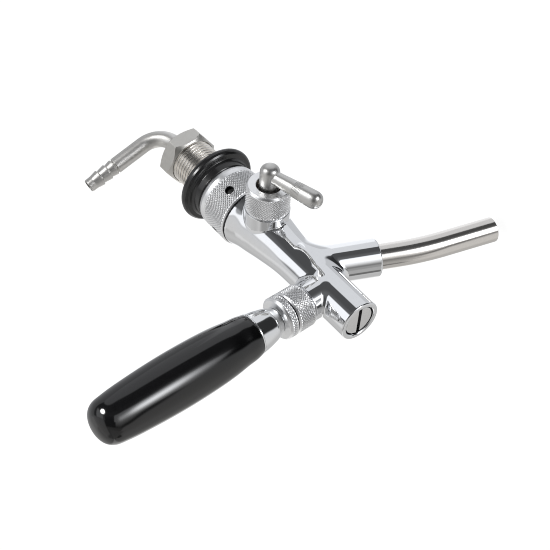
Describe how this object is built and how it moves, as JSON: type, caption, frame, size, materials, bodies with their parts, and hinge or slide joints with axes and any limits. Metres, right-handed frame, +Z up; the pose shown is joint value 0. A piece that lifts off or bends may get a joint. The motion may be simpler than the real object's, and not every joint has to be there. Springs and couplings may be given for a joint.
{
  "type": "beer tap",
  "caption": "Wall-mounted beer tap: threaded shank, knurled coupling collar, chrome body, ball lever with black grip, side flow-control lever and curved spout.",
  "frame": {"origin": "on the tap's long axis, in the plane of the wall washer's back face, which seats on the tower or wall", "axes": "+Y runs along the shank into the wall and -Y towards the person pouring; +Z is up, the way the handle points, with the spout below; +X is the side with the flow-control lever"},
  "size_m": [0.0604, 0.1596, 0.2159],
  "materials": {
    "chrome_polished": "mirror-polished chrome plate",
    "chrome_knurled": "chrome plate over fine diamond knurling",
    "stainless_satin": "fine brushed stainless steel",
    "stainless_turned": "turned stainless steel, slightly warm grey",
    "black_gloss": "glossy moulded black plastic",
    "washer_black": "semi-gloss black moulded washer",
    "seal_rubber": "food-grade rubber",
    "white_acetal": "machined acetal",
    "brass": "turned brass"
  },
  "bodies": {
    "tap": {"tap_body": "chrome_polished", "coupling_collar": "chrome_knurled", "wall_washer": "washer_black", "shank": "stainless_turned", "inlet_seal": "seal_rubber", "tail_nut": "stainless_turned", "tail_seal": "seal_rubber", "front_plug": "stainless_satin", "front_plug_oring": "seal_rubber", "flow_gland_nut": "chrome_knurled", "flow_gland_bush": "brass", "flow_thrust_washer": "white_acetal", "bonnet_nut": "chrome_knurled", "friction_washer": "white_acetal", "ball_seat": "white_acetal", "spout_tube": "stainless_satin", "spout_seal": "seal_rubber"},
    "handle": {"lever_stem": "stainless_turned", "handle_lock_ring": "chrome_knurled", "handle_ferrule": "chrome_polished", "handle_insert": "brass", "handle_grip": "black_gloss"},
    "plunger": {"valve_plunger": "stainless_turned", "plunger_oring": "seal_rubber", "seat_washer": "seal_rubber", "seat_washer_nut": "stainless_turned"},
    "flow_lever": {"flow_spindle": "stainless_satin", "flow_oring_inner": "seal_rubber", "flow_oring_outer": "seal_rubber", "flow_lever_arm": "stainless_satin"},
    "cone": {"compensator_cone": "white_acetal"},
    "hose_tail": {"elbow_tail": "stainless_turned"}
  },
  "joints": [
    {"name": "handle_tilt", "type": "hinge", "parent": "tap", "child": "handle", "pos_m": [0, -0.08796, 0.01797], "axis": [1, 0, 0], "range_deg": [0, 20]},
    {"name": "plunger_slide", "type": "slide", "parent": "tap", "child": "plunger", "axis": [0, 1, 0], "range_m": [0, 0.00609]},
    {"name": "flow_turn", "type": "hinge", "parent": "tap", "child": "flow_lever", "pos_m": [0, -0.0416, 0], "axis": [1, 0, 0], "range_deg": [-90, 90]},
    {"name": "cone_slide", "type": "slide", "parent": "tap", "child": "cone", "axis": [0, 1, 0], "range_m": [-0.00181, 0.00181]},
    {"name": "tail_swivel", "type": "hinge", "parent": "tap", "child": "hose_tail", "pos_m": [0, 0.024, 0], "axis": [0, 1, 0], "continuous": true}
  ],
  "couplings": [
    {"joint": "plunger_slide", "follows": "handle_tilt", "m_per_rad": 0.017423},
    {"joint": "cone_slide", "follows": "flow_turn", "m_per_rad": -0.0011459}
  ]
}
